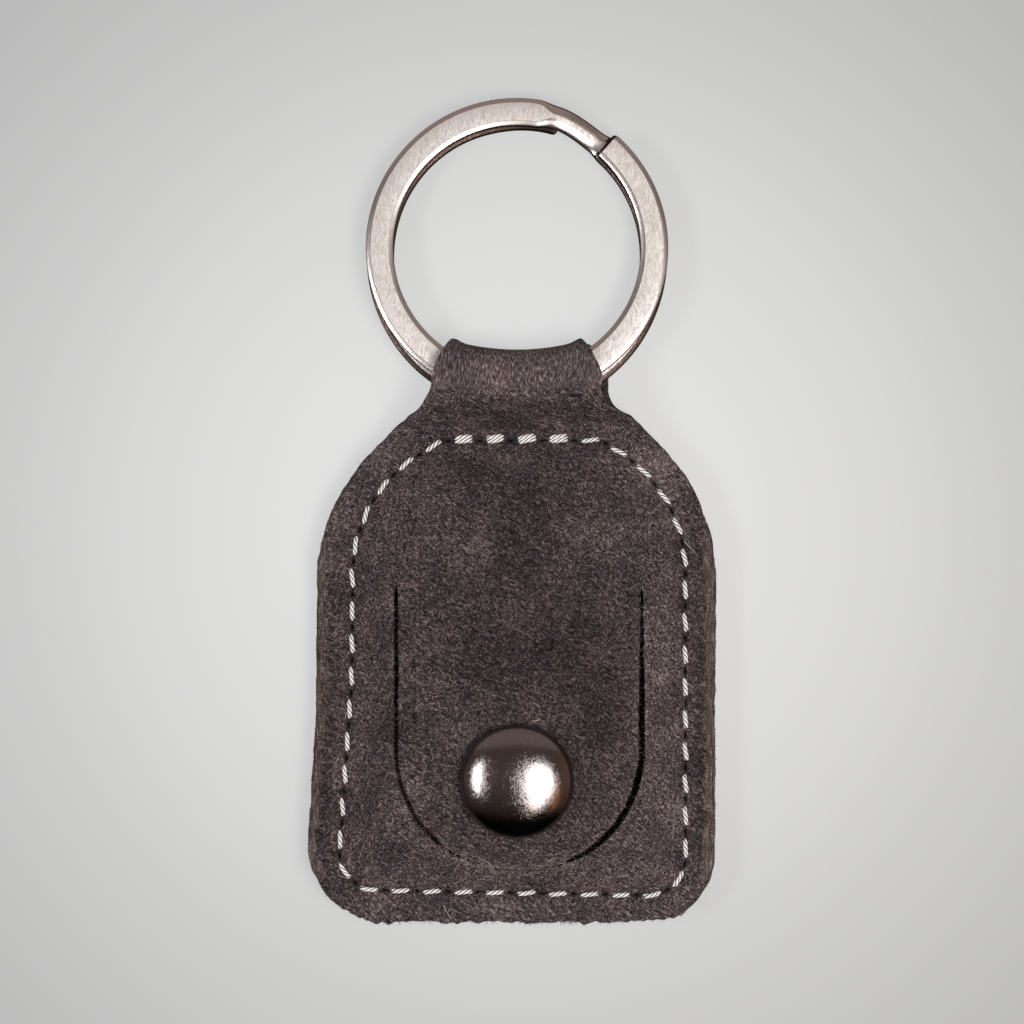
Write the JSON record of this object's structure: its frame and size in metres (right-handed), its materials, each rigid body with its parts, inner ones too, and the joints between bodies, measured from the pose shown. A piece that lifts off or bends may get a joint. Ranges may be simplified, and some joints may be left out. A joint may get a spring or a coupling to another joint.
{
  "type": "coin holder keychain",
  "caption": "Leather coin pouch with a snap flap cut in its front, sewn all round, folded at the neck over a flat split ring for keys.",
  "frame": {"origin": "middle of the pouch on its flat back face, the mount back_face", "axes": "+Y towards the split ring, +Z out of the front with the snap, +X to the right seen from the front"},
  "size_m": [0.0434, 0.0874, 0.0084],
  "materials": {
    "nubuck_leather": "dark grey-brown nubuck, short nap, raw cut edges",
    "waxed_thread": "off-white waxed twisted thread",
    "brushed_nickel": "brushed nickel plate on steel wire",
    "gunmetal_plating": "polished dark gunmetal plate on brass",
    "nickelled_brass": "plain nickel plate on brass"
  },
  "bodies": {
    "pouch": {"front_panel": "nubuck_leather", "back_panel": "nubuck_leather", "front_thread": "waxed_thread", "back_thread": "waxed_thread", "snap_stud": "gunmetal_plating", "stud_eyelet": "gunmetal_plating"},
    "flap": {"coin_flap": "nubuck_leather", "snap_cap": "gunmetal_plating", "cap_post": "nickelled_brass", "snap_socket": "gunmetal_plating", "socket_spring": "nickelled_brass"},
    "loop": {"ring_loop": "nubuck_leather"},
    "ring": {"split_ring": "brushed_nickel"}
  },
  "joints": [
    {"name": "flap_hinge", "type": "hinge", "parent": "pouch", "child": "flap", "pos_m": [0.0002, 0.0072, 0.0054], "axis": [-1, 0, 0], "range_deg": [0, 135]},
    {"name": "neck_bend", "type": "hinge", "parent": "pouch", "child": "loop", "pos_m": [0, 0.0247, 0.00165], "axis": [1, 0, 0], "range_deg": [-45, 45]},
    {"name": "ring_turn", "type": "hinge", "parent": "loop", "child": "ring", "pos_m": [0, 0.0436, 0.0023], "axis": [0, 0.0619, 0.9981], "continuous": true}
  ]
}
